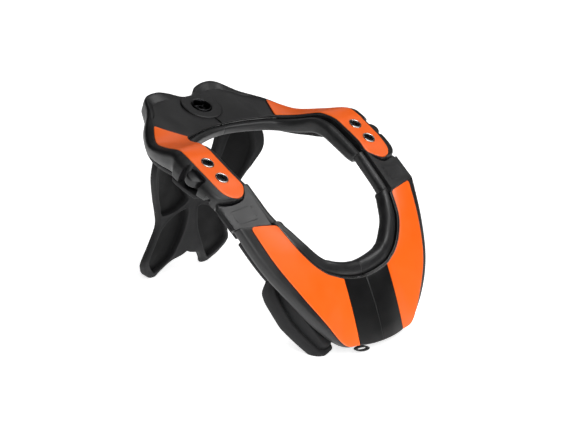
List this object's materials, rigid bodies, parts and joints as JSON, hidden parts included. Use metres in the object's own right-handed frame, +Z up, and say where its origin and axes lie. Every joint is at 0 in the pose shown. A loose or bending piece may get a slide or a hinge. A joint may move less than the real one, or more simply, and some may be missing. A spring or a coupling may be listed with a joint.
{
  "type": "neck brace",
  "caption": "Ring-shaped rigid neck brace for riding: padded collar, coloured chest bib that swings open at the shoulder, press-in release buttons and a forked back stabiliser.",
  "frame": {"origin": "middle of the bounding box on the floor it rests on", "axes": "+Z up, -Y towards the chest bib (the wearer's front), +X towards the wearer's left shoulder"},
  "size_m": [0.2528, 0.2836, 0.1906],
  "materials": {
    "shell_black": "satin moulded",
    "panel_orange": "satin",
    "pad_black": "soft coated foam",
    "foam_black": "matte moulded foam",
    "steel": "bright",
    "screw_black": "black oxide"
  },
  "bodies": {
    "rear_half": {"rear_shell_left": "shell_black", "rear_shell_right": "shell_black", "arm_trim_left": "panel_orange", "arm_trim_right": "panel_orange", "hub_disc": "shell_black", "hub_screw": "screw_black", "eyelet_rear_left": "steel", "eyelet_rear_right": "steel", "eyelet_front_left": "steel", "eyelet_front_right": "steel", "arm_screw_rear_left": "screw_black", "arm_screw_rear_right": "screw_black", "arm_screw_front_left": "screw_black", "arm_screw_front_right": "screw_black", "rear_neck_pad_left": "pad_black", "rear_neck_pad_right": "pad_black", "arm_under_pad_left": "foam_black", "arm_under_pad_right": "foam_black", "rear_stabiliser": "foam_black"},
    "front_half": {"bib_shell": "shell_black", "bib_panel_left": "panel_orange", "bib_panel_right": "panel_orange", "bib_stripe": "shell_black", "bridge_left": "shell_black", "bridge_right": "shell_black", "bridge_under_pad_left": "foam_black", "bridge_under_pad_right": "foam_black", "bridge_pad_left": "pad_black", "bridge_pad_right": "pad_black", "front_neck_pad_left": "pad_black", "front_neck_pad_right": "pad_black", "bib_under_pad_left": "foam_black", "bib_under_pad_right": "foam_black", "chest_pad_left": "foam_black", "chest_pad_right": "foam_black", "strap_loop": "pad_black"},
    "button_left": {"release_button_left": "shell_black"},
    "button_right": {"release_button_right": "shell_black"}
  },
  "joints": [
    {"name": "front_open", "type": "hinge", "parent": "rear_half", "child": "front_half", "pos_m": [0.113, -0.035, 0.1412], "axis": [0, -0.5623, 0.8269], "range_deg": [0, 60]},
    {"name": "press_left", "type": "slide", "parent": "rear_half", "child": "button_left", "axis": [-1, 0, 0], "range_m": [0, 0.002], "stiffness_N_per_m": 1500},
    {"name": "press_right", "type": "slide", "parent": "rear_half", "child": "button_right", "axis": [1, 0, 0], "range_m": [0, 0.002], "stiffness_N_per_m": 1500}
  ]
}
